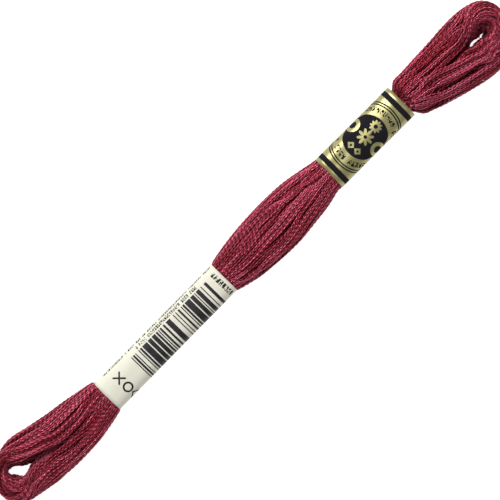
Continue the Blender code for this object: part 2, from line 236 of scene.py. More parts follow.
class Ring:
    """The sections of the ring, in the order in which the thread runs through them.

    Each has a foot, where its inner edge is, a direction in plan, a length to its outer edge, and a low
    and a high level. The first one lies inside the white band, so that the thread's ends are hidden."""

    def __init__(self, probe, sleeves):
        ends = [np.linspace(far[0], near[0], 3) for far, near in (LEFT_HOLE, RIGHT_HOLE)]
        between = int((ends[1][2] - ends[0][2]) / SECTION_SPACING)
        self.xs = np.concatenate([ends[0], np.linspace(ends[0][2], ends[1][2], between)[1:-1], ends[1][::-1]])
        straight = self.straight_outlines(probe, sleeves)
        upper = [self.side_section(probe, x, row, 1) for x, row in zip(self.xs, straight)]
        lower = [self.side_section(probe, x, row, -1) for x, row in zip(self.xs, straight)]
        left = self.fan(probe, LEFT_HOLE[0], np.linspace(math.pi / 2, math.pi * 3 / 2, FAN_RAYS + 2)[1:-1])
        right = self.fan(probe, RIGHT_HOLE[0], np.linspace(-math.pi / 2, math.pi / 2, FAN_RAYS + 2)[1:-1])
        count, rays = len(self.xs), FAN_RAYS
        rows = np.array([*reversed(upper), *left, *lower, *right])
        self.size = len(rows)
        place = {"upper": np.arange(count)[::-1], "left": count + np.arange(rays),
                 "lower": count + rays + np.arange(count), "right": 2 * count + rays + np.arange(rays)}
        white_middle = sleeves[0].middle[0]
        first = place["upper"][np.abs(self.xs - white_middle).argmin()]
        rows = np.roll(rows, -first, axis=0)
        self.place = {key: (value - first) % self.size for key, value in place.items()}
        self.foot, self.way = rows[:, 0:2], rows[:, 2:4]
        self.length, self.low, self.high = rows[:, 4], rows[:, 5], rows[:, 6]
        self.outline = straight
        self.split = np.array([self.hole_span(probe, x) is not None for x in self.xs])
        self.funnel = {"upper": self.funnel_rows("upper", self.xs, self.foot[self.place["upper"], 1]),
                       "lower": -self.funnel_rows("lower", self.xs, self.foot[self.place["lower"], 1])}
        for key, start, pivot in (("left", 90.0, LEFT_HOLE[0]), ("right", -90.0, RIGHT_HOLE[0])):
            edge = np.linalg.norm(self.foot[self.place[key]] - pivot, axis=1)
            degrees = start + 180.0 * np.arange(1, rays + 1) / (rays + 1)
            self.funnel[key] = self.funnel_rows(key, degrees, edge)

    @staticmethod
    def funnel_rows(key, where, edge):
        """How far past the solid's own edge of the hole the lowest and the topmost thread keep."""
        table = np.array(FUNNELS[key])
        return np.stack([np.interp(where, table[:, 0], table[:, column]) - edge for column in (1, 2)])

    def straight_outlines(self, probe, sleeves):
        """At each x: the low and high y, and the low and high z, of all the floss."""
        rows = []
        for x in self.xs:
            sleeve = next((s for s in sleeves if abs(x - s.middle[0]) < s.length / 2 - 0.3), None)
            if sleeve:
                y = sleeve.middle[1] + math.tan(sleeve.yaw) * (x - sleeve.middle[0])
                half_width, half_height = sleeve.width / 2 - PAPER_ROOM, sleeve.height / 2 - PAPER_ROOM
                z = sleeve.middle[2]
                rows.append((y - half_width, y + half_width, z - half_height, z + half_height))
                continue
            low, high = -probe.reach((x, 0), (0, -1)), probe.reach((x, 0), (0, 1))
            places = [(x, y) for y in np.linspace(low + 0.5, high - 0.5, 25)]
            rows.append((low, high, probe.bottom(places), probe.top(places)))
        return np.array(rows)

    @staticmethod
    def hole_span(probe, x):
        """The two y between which a loop's hole is open at x, or None away from the holes."""
        for (x0, y0), (x1, y1) in (LEFT_HOLE, RIGHT_HOLE):
            if min(x0, x1) <= x <= max(x0, x1):
                y = y0 + (y1 - y0) * (x - x0) / (x1 - x0)
                return y - probe.first((x, y), (0, -1)), y + probe.first((x, y), (0, 1))
        return None

    def side_section(self, probe, x, outline, side):
        """The section at x of the floss on one side of the seam, or of a loop's hole."""
        span = self.hole_span(probe, x)
        foot = at(SEAM, x) if span is None else span[(side + 1) // 2]
        outer = outline[1] if side > 0 else outline[0]
        return x, foot, 0.0, side, abs(outer - foot), outline[2], outline[3]

    @staticmethod
    def fan(probe, pivot, angles):
        """The sections of a loop's turn: uprights through a pivot in its hole."""
        rows = []
        for angle in angles:
            way = (math.cos(angle), math.sin(angle))
            inner, outer = probe.first(pivot, way), probe.reach(pivot, way)
            top = probe.top([(pivot[0] + way[0] * r, pivot[1] + way[1] * r)
                             for r in np.linspace(inner + 0.4, outer - 0.4, 12)])
            rows.append((pivot[0] + way[0] * inner, pivot[1] + way[1] * inner, *way, outer - inner, 0.0, top))
        return rows

    def spot(self, across, up, sections=slice(None)):
        """The points in space of runs at shares across and up of every section, or of some."""
        plan = self.foot[sections] + self.way[sections] * (across * self.length[sections])[..., None]
        level = self.low[sections] + up * (self.high - self.low)[sections]
        return np.concatenate([plan, level[..., None]], axis=-1)


# ---------------------------------------------------------------- winding the thread


def slots():
    """The places of the runs in a section, as shares across and up, in staggered columns."""
    rows = TURNS // SLOT_COLUMNS
    found = []
    for column in range(SLOT_COLUMNS):
        for row in range(rows):
            up = (row + (0.25 if column % 2 else 0.75)) / rows
            found.append(((column + 0.5) / SLOT_COLUMNS, min(up, 0.95)))
    return np.array(found)


def nearest_slots(wanted, places):
    """Gives each run its own slot, the nearest pairs first."""
    distance = np.linalg.norm(wanted[:, None] - places[None], axis=2)
    chosen = np.zeros(len(wanted), int)
    for _ in range(len(wanted)):
        run, slot = np.unravel_index(distance.argmin(), distance.shape)
        chosen[run] = slot
        distance[run, :] = np.inf
        distance[:, slot] = np.inf
    return places[chosen]


def first_winding(ring, rng):
    """Shares across and up for each turn at each section: home slots that wander between a few stops."""
    stops = np.linspace(0, ring.size, 9)[:-1]
    places = slots()
    home = places[np.argsort(places[:, 0] + 0.1 * rng.standard_normal(TURNS))]
    at_stops = np.array([nearest_slots(home + WANDER * rng.standard_normal(home.shape), places)
                         for _ in stops])
    knots = np.append(stops, ring.size)
    values = np.concatenate([at_stops, at_stops[:1]])
    steps = np.arange(ring.size)
    k = np.searchsorted(knots, steps, side="right") - 1
    t = ease((steps - knots[k]) / (knots[k + 1] - knots[k]))
    mixed = values[k] * (1 - t)[:, None, None] + values[k + 1] * t[:, None, None]
    return mixed[:, :, 0].T.copy(), mixed[:, :, 1].T.copy()


def push_apart(a, b, gap):
    """Moves discs at (a, b), a row for each section, off each other, and says by how much."""
    da, db = a[:, :, None] - a[:, None, :], b[:, :, None] - b[:, None, :]
    distance = np.sqrt(da**2 + db**2) + 1e-6
    push = np.clip(gap[:, None, None] - distance, 0, None) / distance * STIFFNESS
    return (da * push).sum(2), (db * push).sum(2)


def into_outline(a, b, low_a, high_a, low_b, high_b, margin, power):
    """Pulls discs at (a, b) inside rounded outlines."""
    mid_a, mid_b = (low_a + high_a) / 2, (low_b + high_b) / 2
    half_a = np.maximum((high_a - low_a) / 2 - margin, 0.05)
    half_b = np.maximum((high_b - low_b) / 2 - margin, 0.05)
    u, v = (a - mid_a[:, None]) / half_a[:, None], (b - mid_b[:, None]) / half_b[:, None]
    over = np.maximum(superellipse(u, v, power), 1.0)
    return mid_a[:, None] + u / over * half_a[:, None], mid_b[:, None] + v / over * half_b[:, None]


def widest_gaps(ring):
    """How thick the thread can be in each section if its runs fill the outline."""
    outline = ring.outline
    circle = math.pi / 4
    height = outline[:, 3] - outline[:, 2]
    whole = (outline[:, 1] - outline[:, 0]) * height * STRAIGHT_FILL / (2 * TURNS)
    topmost = 1 - (FUNNEL_FROM + FUNNEL_TO) / 2  # the share of the height above the middle of a funnel
    free = {key: ring.length[ring.place[key]] - funnel[0] * (1 - topmost) - funnel[1] * topmost
            for key, funnel in ring.funnel.items()}
    both = (free["upper"] + free["lower"]) * LOOP_FILL
    gap = np.zeros(ring.size)
    for side in ("upper", "lower"):
        gap[ring.place[side]] = np.where(ring.split, both * height / (2 * TURNS), whole)
    for end in ("left", "right"):
        p = ring.place[end]
        gap[p] = free[end] * (ring.high[p] - ring.low[p]) * LOOP_FILL / TURNS
    gap = np.minimum(np.sqrt(gap * PACKING / circle), THREAD_THICKEST)
    for _ in range(3):
        gap = (np.roll(gap, 1) + 2 * gap + np.roll(gap, -1)) / 4
    return gap


class Packing:
    """Runs of thread or of strand, pushed apart like soft discs in every section of the ring.

    across and up have a row for each turn of each chain. A chain is one thread or strand, turn after
    turn, and is kept smooth along its whole length."""

    def __init__(self, ring, across, up, gap, chains):
        self.ring, self.gap, self.chains = ring, gap, chains
        self.across, self.up = across, up
        self.home = across.copy(), up.copy()
        self.lead = np.zeros(across.shape, bool)  # where a run lies on top in a lead

    def smooth(self, values, amount):
        chain = values.reshape(self.chains, -1)
        padded = np.concatenate([chain[:, :1], chain, chain[:, -1:]], axis=1)
        middle = (padded[:, :-2] + padded[:, 2:]) / 2
        return (chain + amount * (middle - chain)).reshape(values.shape)

    def settle(self, smoothing, pull=0.0, leads=()):
        """One round: smooths the runs, draws them home, pushes them apart and back into the outlines."""
        across = self.smooth(self.across, smoothing)
        up = self.smooth(self.up, smoothing)
        if pull:
            pull = np.where(self.lead, LEAD_PULL, pull)
            across += pull * (self.home[0] - across)
            up += pull * (self.home[1] - up)
        self.settle_straight(across, up, leads)
        self.settle_ends(across, up)
        self.across, self.up = across, up

    def settle_straight(self, across, up, leads):
        """The part between the loops, where the runs of both sides share a section."""
        ring, gap, count = self.ring, self.gap, len(across)
        upper, lower = ring.place["upper"], ring.place["lower"]
        height = ring.high - ring.low
        y = np.concatenate([ring.foot[upper, 1] + across[:, upper] * ring.length[upper],
                            ring.foot[lower, 1] - across[:, lower] * ring.length[lower]]).T
        z = np.concatenate([ring.low[p] + up[:, p] * height[p] for p in (upper, lower)]).T
        dy, dz = push_apart(y, z, gap[upper])
        y, z = self.clear_clefts(y + dy, z + dz, gap[upper])
        o = ring.outline
        y += SPREAD * (y - (o[:, 0] + o[:, 1])[:, None] / 2)
        z += SPREAD * (z - (o[:, 2] + o[:, 3])[:, None] / 2)
        for lead in leads:
            y[lead.sections, lead.runs] += LEAD_DRAW * (lead.y - y[lead.sections, lead.runs])
            z[lead.sections, lead.runs] += LEAD_DRAW * (lead.z - z[lead.sections, lead.runs])
        kept = into_outline(y, z, o[:, 0], o[:, 1], o[:, 2], o[:, 3], gap[upper] / 2, OUTLINE_POWER)
        free = np.concatenate([self.lead[:, upper], self.lead[:, lower]]).T
        y, z = np.where(free, y, kept[0]), np.where(free, z, kept[1])
        across[:, upper] = (y[:, :count].T - ring.foot[upper, 1]) / ring.length[upper]
        across[:, lower] = (ring.foot[lower, 1] - y[:, count:].T) / ring.length[lower]
        up[:, upper] = (z[:, :count].T - ring.low[upper]) / height[upper]
        up[:, lower] = (z[:, count:].T - ring.low[lower]) / height[lower]

    def settle_ends(self, across, up):
        """The turns around the ends, and the sections that a hole divides."""
        ring, gap = self.ring, self.gap
        height = ring.high - ring.low
        for key in ("left", "right", "upper", "lower"):
            p, funnel = ring.place[key], ring.funnel[key]
            if key in ("upper", "lower"):
                p, funnel = p[ring.split], funnel[:, ring.split]
            r, z = (across[:, p] * ring.length[p]).T, (up[:, p] * height[p]).T
            r = r + LOOP_SPREAD * (r - ring.length[p][:, None] / 2)
            if key in ("left", "right"):
                dr, dz = push_apart(r, z, gap[p])
                r, z = r + dr, z + dz
            zero, length = np.zeros(len(p)), ring.length[p][:, None]
            share = np.clip((z / height[p][:, None] - FUNNEL_FROM) / (FUNNEL_TO - FUNNEL_FROM), 0, 1)
            edge = funnel[1][:, None] * share + funnel[0][:, None] * (1 - share)
            straight = r * (1 + edge / length) - edge
            straight, z = into_outline(straight, z, zero, ring.length[p], zero, height[p], gap[p] / 2,
                                       LOOP_POWER)
            r = (straight + edge) / (1 + edge / length)
            across[:, p] = np.where(self.lead[:, p], across[:, p], r.T / ring.length[p])
            up[:, p] = np.where(self.lead[:, p], up[:, p], z.T / height[p])

    def clear_clefts(self, y, z, gap):
        """Moves the discs beside each cleft away from its middle line, more so near the top."""
        xs, top = self.ring.xs, self.ring.outline[:, 3]
        for rows in CLEFTS:
            table = np.array(rows)
            line, half_width, depth = (np.interp(xs, table[:, 0], table[:, k])[:, None] for k in (1, 2, 3))
            inside = ((xs > table[0, 0]) & (xs < table[-1, 0]) & ~self.ring.split)[:, None]
            floor = top[:, None] - depth
            share = np.clip((z - floor) / depth, 0, 1)
            room = half_width * np.sqrt(share) + gap[:, None] * CLEFT_ROOM
            away = y - line
            short = np.clip(room - np.abs(away), 0, None) * np.where(away < 0, -1, 1)
            y = np.where(inside & (z > floor), y + CLEFT_GIVE * short, y)
        return y, z

    def discs(self, key):
        """The places of the runs in each section of a part of the ring: a row for each section."""
        p = self.ring.place[key]
        spots = self.ring.spot(self.across[:, p], self.up[:, p], p)
        if key in ("left", "right"):
            return (self.across[:, p] * self.ring.length[p]).T, spots[:, :, 2].T
        return spots[:, :, 1].T, spots[:, :, 2].T

    def outward(self, rows):
        """The way out of the skein, or of a loop's branch, from each run of some rows in each section."""
        ring = self.ring
        middle, half = ring.length / 2, ring.length / 2
        low, high = ring.outline[~ring.split, 0], ring.outline[~ring.split, 1]
        for key in ("upper", "lower"):
            p = ring.place[key][~ring.split]
            middle[p] = ((low + high) / 2 - ring.foot[p, 1]) * ring.way[p, 1]
            half[p] = (high - low) / 2
        flat = (self.across[rows] * ring.length - middle) / half**2
        rise = (self.up[rows] - 0.5) * 4 / (ring.high - ring.low)
        found = np.concatenate([flat[..., None] * ring.way, rise[..., None]], axis=-1)
        return unit(found)

    def shown(self, looks=16):
        """Whether each run can be seen from outside, in each section."""
        found = np.zeros(self.across.shape, bool)

        def seen(a, b, gap):
            da, db = a[:, None, :] - a[:, :, None], b[:, None, :] - b[:, :, None]
            least_ahead, most_aside = HIDING_AHEAD * gap[:, None, None], HIDING_ASIDE * gap[:, None, None]
            free = np.zeros(a.shape, bool)
            for angle in 2 * np.pi * np.arange(looks) / looks:
                ca, cb = math.cos(angle), math.sin(angle)
                ahead, aside = da * ca + db * cb, np.abs(db * ca - da * cb)
                free |= ~((ahead > least_ahead) & (aside < most_aside)).any(2)
            return free

        ring, count = self.ring, len(self.across)
        y, z = (np.concatenate(pair, axis=1) for pair in zip(self.discs("upper"), self.discs("lower")))
        free = seen(y, z, self.gap[ring.place["upper"]])
        found[:, ring.place["upper"]], found[:, ring.place["lower"]] = free[:, :count].T, free[:, count:].T
        for key in ("left", "right"):
            found[:, ring.place[key]] = seen(*self.discs(key), self.gap[ring.place[key]]).T
        return found


Lead = namedtuple("Lead", "sections runs y z")


def find_leads(packing):
    """The runs that lie on top along each lead, with the places that they are drawn to."""
    ring = packing.ring
    y, z = (np.concatenate(pair, axis=1) for pair in zip(packing.discs("upper"), packing.discs("lower")))
    found = []
    for points, number in LEADS:
        table = np.array(points)
        sections = np.flatnonzero((ring.xs >= table[0, 0]) & (ring.xs <= table[-1, 0]))
        line = np.interp(ring.xs[sections], table[:, 0], table[:, 1])
        side, key = (0, "upper") if table[:, 1].mean() > 0 else (1, "lower")
        runs = np.arange(TURNS) + side * TURNS
        top = ring.outline[sections, 3]
        gap = packing.gap[ring.place["upper"]][sections]
        miss = (y[sections][:, runs] - line[:, None]) ** 2 + (z[sections][:, runs] - top[:, None]) ** 2
        chosen = runs[np.argsort(miss.mean(0))[:number]]
        chosen = chosen[np.argsort(y[sections][:, chosen].mean(0))]
        rank = (np.arange(number) - (number - 1) / 2)[:, None]
        level = top[None, :] - gap[None, :] * np.resize(LEAD_DEPTHS, number)[:, None]
        beside = line[None] + rank * gap[None] * LEAD_GAP
        found.append(Lead(sections[:, None], chosen[None, :], beside.T, level.T))
        packing.lead[np.ix_(chosen - side * TURNS, ring.place[key][sections])] = True
    return found


def wind_threads(ring, rng):
    """The 25 turns of the thread, settled in the ring."""
    across, up = first_winding(ring, rng)
    threads = Packing(ring, across, up, widest_gaps(ring), 1)
    leads = ()
    for n in range(SETTLE_ROUNDS):
        if n == SETTLE_ROUNDS // 4:
            leads = find_leads(threads)
        threads.settle(SMOOTHING_MORE * (1 - n / SETTLE_ROUNDS) + SMOOTHING, leads=leads)
    return threads


def wind_strands(threads, rng):
    """The six strands of every turn, laid around the thread's line and then settled among each other."""
    ring = threads.ring
    spots = ring.spot(threads.across, threads.up)
    distance = running_length(spots.reshape(-1, 3))
    across, up = [], []
    lay = slow_noise(rng, distance[-1], LAY_DRIFT_OVER)(distance) * LAY_DRIFT
    for strand in range(STRANDS):
        stray = slow_noise(rng, distance[-1], ANGLE_STRAY_OVER)(distance)
        reach = slow_noise(rng, distance[-1], OUT_STRAY_OVER)(distance)
        angle = 2 * math.pi * (strand / STRANDS + distance / THREAD_LAY + lay) + ANGLE_STRAY * stray
        angle = angle.reshape(TURNS, ring.size)
        out = threads.gap * (STRAND_OUT + OUT_STRAY * reach.reshape(TURNS, ring.size))
        across.append(threads.across + out * np.cos(angle) / ring.length)
        up.append(threads.up + out * np.sin(angle) / (ring.high - ring.low))
    across, up = np.concatenate(across).astype(np.float32), np.concatenate(up).astype(np.float32)
    strands = Packing(ring, across, up, threads.gap * STRAND_SHARE, STRANDS)
    strands.lead = np.concatenate([threads.lead] * STRANDS)
    for _ in range(STRAND_ROUNDS):
        strands.settle(SMOOTHING, pull=STRAND_PULL)
    return strands


# ---------------------------------------------------------------- making the strands


def slow_noise(rng, length, spacing):
    """A smooth random curve along a length, about -1 to 1, as a function of the distance along it."""
    knots = np.arange(0, length + 3 * spacing, spacing)
    values = rng.uniform(-1, 1, len(knots))
    values[1:-1] = (values[:-2] + 2 * values[1:-1] + values[2:]) / 4 * 1.6

    def curve(s):
        k = np.clip((s / spacing).astype(int), 0, len(knots) - 2)
        t = ease(s / spacing - k)
        return values[k] * (1 - t) + values[k + 1] * t

    return curve


def catmull_rom(points, per_span):
    """Points on a smooth curve through points, with per_span of them to each gap."""
    padded = np.concatenate([2 * points[:1] - points[1:2], points, 2 * points[-1:] - points[-2:-1]])
    p, q, r, s = padded[:-3], padded[1:-2], padded[2:-1], padded[3:]
    t = (np.arange(per_span) / per_span)[None, :, None]
    p, q, r, s = (x[:, None, :] for x in (p, q, r, s))
    curve = 0.5 * (2 * q + (r - p) * t + (2 * p - 5 * q + 4 * r - s) * t**2 + (3 * q - p - 3 * r + s) * t**3)
    return np.concatenate([curve.reshape(-1, points.shape[1]), points[-1:]])


def sample(where, at, values):
    """A value, or a row of values, at each of some places, from those at other places along a line."""
    if values.ndim == 1:
        return np.interp(where, at, values)
    return np.stack([np.interp(where, at, column) for column in values.T], axis=1)


def unit(vectors):
    return vectors / np.linalg.norm(vectors, axis=-1, keepdims=True)


def running_length(points):
    """How far along a row of points each one is."""
    return np.concatenate([[0], np.cumsum(np.linalg.norm(np.diff(points, axis=0), axis=1))])


Line = namedtuple("Line", "at points side above thickness shown out")


def strand_line(strands, shown, strand, turns):
    """A strand's middle line over some turns, with a side and an upward direction at each point."""
    ring, rows = strands.ring, [strand * TURNS + turn for turn in turns]
    spots = ring.spot(strands.across[rows], strands.up[rows]).reshape(-1, 3)
    thickness = np.tile(strands.gap, len(turns))
    seen, out = shown[rows].reshape(-1), strands.outward(rows).reshape(-1, 3)
    if turns[-1] + 1 < TURNS:  # the strand goes on in the next piece
        row = rows[-1] + 1
        spots = np.concatenate([spots, ring.spot(strands.across[row], strands.up[row])[:1]])
        thickness, seen = np.append(thickness, thickness[0]), np.append(seen, shown[row, 0])
        out = np.concatenate([out, strands.outward([row])[0, :1]])
    points = catmull_rom(spots, STEPS_PER_SPAN)
    where = np.arange(len(points)) / STEPS_PER_SPAN
    run = running_length(points)
    tangent = unit(np.gradient(points, run, axis=0))
    side = unit(np.cross([0.0, 0.0, 1.0], tangent))
    return Line(run, points, side, np.cross(tangent, side),
                *[sample(where, np.arange(len(spots)), values) for values in (thickness, seen, out)])


def make_strand(line, rng, sleeves):
    """One strand as rings of points: fine where it shows, one ring for each lay of its plies elsewhere.

    Also how many lays into the strand each ring is, how light it is, and for each point how far it faces
    out of the skein, from -1 to 1."""
    length = line.at[-1]
    breathe = slow_noise(rng, length, BREATHE_OVER)
    cells = int(length // PLY_LAY)
    cell_length = length / cells
    middles = (np.arange(cells) + 0.5) * cell_length
    shows = sample(middles, line.at, line.shown) > SHOWN_SHARE
    shows = shows | np.roll(shows, 1) | np.roll(shows, -1)
    places = sample(middles, line.at, line.points)
    for sleeve in sleeves:
        shows &= np.abs(places[:, 0] - sleeve.middle[0]) > sleeve.length / 2 - BAND_SHOWS
    steps = np.arange(STRAND_SIDES) / STRAND_SIDES
    s = np.concatenate([(k + (steps if shows[k] else steps[:1])) * cell_length for k in range(cells)]
                       + [np.array([length])])
    middle, side, above, thickness, _, out = (sample(s, line.at, values) for values in line[1:])
    radius = thickness * (0.50 + BREATHE * breathe(s))
    around = 2 * math.pi * np.arange(STRAND_SIDES) / STRAND_SIDES
    shape = 1.0 - (1.0 - PLY_WAIST) * np.sin(around) ** 2 / 0.75
    phase = rng.uniform(0, 1) + s / cell_length + PLY_DRIFT * slow_noise(rng, length, PLY_DRIFT_OVER)(s)
    angle = around[None, :] + (2 * math.pi * phase)[:, None]
    reach = radius[:, None] * (shape * FULLNESS)[None, :]
    spoke = side[:, None, :] * np.cos(angle)[..., None] + above[:, None, :] * np.sin(angle)[..., None]
    points = middle[:, None, :] + spoke * reach[..., None]
    # How far each point faces out of the skein; the material paints shade where it faces in
    crown = (spoke * out[:, None, :]).sum(-1)
    for sleeve in sleeves:
        points = keep_inside(points, sleeve)
    streaks = slow_noise(rng, length, TONE_STREAK)(s)
    tone = TONE + TONE_ALONG * streaks + TONE_EACH * (rng.uniform(0, 1) - 0.5)
    return points, s / cell_length, tone, crown


def keep_inside(points, sleeve):
    """Pulls in the points that would come through a paper band."""
    x = points[..., 0] - sleeve.middle[0]
    y = points[..., 1] - sleeve.middle[1] - math.tan(sleeve.yaw) * x
    z = points[..., 2] - sleeve.middle[2]
    room = LAP_LIFT + STRAND_ROOM
    over = superellipse(y / (sleeve.width / 2 - room), z / (sleeve.height / 2 - room), BAND_POWER)
    over = np.where(np.abs(x) < sleeve.length / 2 + 0.1, np.maximum(over, 1.0), 1.0)
    points[..., 1] += y / over - y
    points[..., 2] += z / over - z
    return points


def superellipse(u, v, power):
    """How far out a point is, as a share of the way to a rounded outline."""
    return (np.abs(u) ** power + np.abs(v) ** power) ** (1 / power)


def strands_mesh(name, tubes):
    """All the strands of a piece as one mesh, from arrays. Its UV map runs along and around each strand."""
    sides = STRAND_SIDES
    vertices = np.concatenate([points.reshape(-1, 3) for points, *_ in tubes]) * MM
    quads, ends, along, around, tones, start = [], [], [], [], [], 0
    for points, s, tone, _ in tubes:
        rings = len(points)
        first = start + np.arange(rings - 1)[:, None] * sides
        k = np.arange(sides)[None, :]
        after = (k + 1) % sides
        corners = first + k, first + after, first + sides + after, first + sides + k
        quads.append(np.stack(corners, -1).reshape(-1, 4))
        u0, u1 = np.repeat(s[:-1], sides), np.repeat(s[1:], sides)
        v0 = np.tile(np.arange(sides) / sides, rings - 1)
        v1 = v0 + 1 / sides
        along.append(np.stack([u0, u0, u1, u1], -1).reshape(-1))
        around.append(np.stack([v0, v1, v1, v0], -1).reshape(-1))
        tones.append(np.repeat(tone, sides))
        ends += [start + np.arange(sides)[::-1], start + (rings - 1) * sides + np.arange(sides)]
        start += rings * sides
    quads = np.concatenate(quads)
    loops = np.concatenate([quads.reshape(-1), np.concatenate(ends)]).astype(np.int32)
    mesh = bpy.data.meshes.new(name)
    mesh.vertices.add(len(vertices))
    mesh.vertices.foreach_set("co", vertices.reshape(-1))
    mesh.loops.add(len(loops))
    mesh.loops.foreach_set("vertex_index", loops)
    starts = np.concatenate([np.arange(len(quads)) * 4, len(quads) * 4 + np.arange(len(ends)) * sides])
    mesh.polygons.add(len(starts))
    mesh.polygons.foreach_set("loop_start", starts.astype(np.int32))
    mesh.update(calc_edges=True)
    uv = np.zeros((len(loops), 2))
    uv[:len(quads) * 4, 0], uv[:len(quads) * 4, 1] = np.concatenate(along), np.concatenate(around)
    mesh.uv_layers.new(name="strand").data.foreach_set("uv", uv.reshape(-1))
    crowns = np.concatenate([crown.reshape(-1) for *_, crown in tubes])
    for layer, values in (("tone", np.concatenate(tones)), ("crown", crowns)):
        mesh.attributes.new(layer, "FLOAT", "POINT").data.foreach_set("value", values)
    mesh.shade_smooth()
    mesh.validate()
    return mesh


def add_object(name, data):
    thing = bpy.data.objects.new(name, data)
    bpy.context.scene.collection.objects.link(thing)
    return thing


def make_floss(ring, sleeves, material):
    """The whole thread, in pieces of a few turns that follow on from each other."""
    rng = np.random.default_rng(SEED)
    strands = wind_strands(wind_threads(ring, rng), rng)
    shown = strands.shown()
    pieces = []
    for first in range(0, TURNS, TURNS_PER_PIECE):
        turns = range(first, min(first + TURNS_PER_PIECE, TURNS))
        tubes = [make_strand(strand_line(strands, shown, strand, turns), rng, sleeves)
                 for strand in range(STRANDS)]
        mesh = strands_mesh(f"floss_turns_{len(pieces) + 1}", tubes)
        mesh.materials.append(material)
        pieces.append(add_object(mesh.name, mesh))
    return pieces


# ---------------------------------------------------------------- materials


class Value:
    """A shader socket with arithmetic: + - * / ** abs < >, & for both of two masks and | for either."""

    def __init__(self, tree, socket):
        self.tree, self.socket = tree, socket

    def math(self, operation, *others):
        return math_node(self.tree, operation, self, *others)

    def __add__(self, other):
        return self.math("ADD", other)

    def __sub__(self, other):
        return self.math("SUBTRACT", other)

    def __rsub__(self, other):
        return math_node(self.tree, "SUBTRACT", other, self)

    def __mul__(self, other):
        return self.math("MULTIPLY", other)

    def __truediv__(self, other):
        return self.math("DIVIDE", other)

    def __pow__(self, other):
        return self.math("POWER", other)

    def __abs__(self):
        return self.math("ABSOLUTE")

    def __lt__(self, other):
        return self.math("LESS_THAN", other)

    def __gt__(self, other):
        return self.math("GREATER_THAN", other)

    def __and__(self, other):
        return self.math("MULTIPLY", other)

    def __or__(self, other):
        return self.math("MAXIMUM", other)

    def between(self, low, high):
        return (self > low) & (self < high)

    def clamp(self):
        return self.math("MAXIMUM", 0.0).math("MINIMUM", 1.0)


def put(tree, socket, value):
    """Links a value to a socket, or sets the socket to a number or a colour."""
    if isinstance(value, Value):
        tree.links.new(value.socket, socket)
    else:
        socket.default_value = value


def math_node(tree, operation, *values):
    node = tree.nodes.new("ShaderNodeMath")
    node.operation = operation
    for socket, value in zip(node.inputs, values):
        put(tree, socket, value)
    return Value(tree, node.outputs[0])


def length(x, y):
    return (x * x + y * y).math("SQRT")


def petals(x, y, number):
    """A wave from 0 to 1 round a middle, with twice number peaks."""
    return abs((y.math("ARCTAN2", x) * number).math("COSINE"))


class Nodes:
    """A material, with short ways to make its nodes."""

    def __init__(self, name):
        self.material = bpy.data.materials.new(name)
        self.material.use_nodes = True
        self.tree = self.material.node_tree
        self.shader = self.tree.nodes["Principled BSDF"]

    def mix(self, share, first, second):
        node = self.tree.nodes.new("ShaderNodeMix")
        node.data_type = "RGBA"
        for name, value in (("Factor", share), (6, first), (7, second)):
            put(self.tree, node.inputs[name], value)
        return Value(self.tree, node.outputs[2])

    def uv(self, layer):
        node = self.tree.nodes.new("ShaderNodeUVMap")
        node.uv_map = layer
        split = self.tree.nodes.new("ShaderNodeSeparateXYZ")
        self.tree.links.new(node.outputs["UV"], split.inputs[0])
        return [Value(self.tree, socket) for socket in split.outputs[:2]]

    def attribute(self, name):
        node = self.tree.nodes.new("ShaderNodeAttribute")
        node.attribute_name = name
        return Value(self.tree, node.outputs["Fac"])

    def noise(self, scale, detail):
        place = self.tree.nodes.new("ShaderNodeTexCoord").outputs["Object"]
        node = self.tree.nodes.new("ShaderNodeTexNoise")
        self.tree.links.new(place, node.inputs["Vector"])
        node.inputs["Scale"].default_value = scale
        node.inputs["Detail"].default_value = detail
        return Value(self.tree, node.outputs["Fac"])

    def cells(self, seed, *ways):
        """A random number from 0 to 1 in each cell of a grid, from pairs of a place and a cell's size."""
        node = self.tree.nodes.new("ShaderNodeTexWhiteNoise")
        node.noise_dimensions = "3D"
        join = self.tree.nodes.new("ShaderNodeCombineXYZ")
        for socket, (place, size) in zip(join.inputs, ways):
            put(self.tree, socket, (place / size).math("FLOOR"))
        join.inputs[2].default_value = seed
        self.tree.links.new(join.outputs[0], node.inputs["Vector"])
        return Value(self.tree, node.outputs["Value"])

    def set(self, inputs):
        """Links or sets inputs of the shader."""
        for name, value in inputs.items():
            put(self.tree, self.shader.inputs[name], value)

    def bump(self, height, distance, strength=1.0):
        node = self.tree.nodes.new("ShaderNodeBump")
        node.inputs["Strength"].default_value = strength
        node.inputs["Distance"].default_value = distance
        put(self.tree, node.inputs["Height"], height)
        self.tree.links.new(node.outputs["Normal"], self.shader.inputs["Normal"])


def srgb(red, green, blue):
    """A colour given as 0 to 255 on screen, as the four numbers that a shader takes."""
    return (*[(c / 255 / 12.92) if c <= 10 else ((c / 255 + 0.055) / 1.055) ** 2.4
              for c in (red, green, blue)], 1.0)


def darker(colour, share):
    return (*[c * share for c in colour[:3]], 1.0)


# Painted shade: the colour the floss is given in its ply creases and on strand sides that face into the skein
FLOSS_PAINTED_SHADE = srgb(74, 4, 14)
FLOSS_MIDDLE = srgb(162, 32, 50)
FLOSS_BRIGHT = srgb(255, 114, 144)
FLOSS_SHEEN = srgb(235, 150, 165)
CROWN_FROM, CROWN_TO = 0.12, 0.85  # how far out a strand's side faces where its full colour begins and ends; sides facing further in are painted with shade
FIBRE_SCALE, PATCH_SCALE, PATCH_TONE = 2600.0, 160.0, 0.8
INK = srgb(18, 16, 22)
PAPER_WHITE = srgb(207, 205, 189)
FOIL = srgb(162, 156, 109)

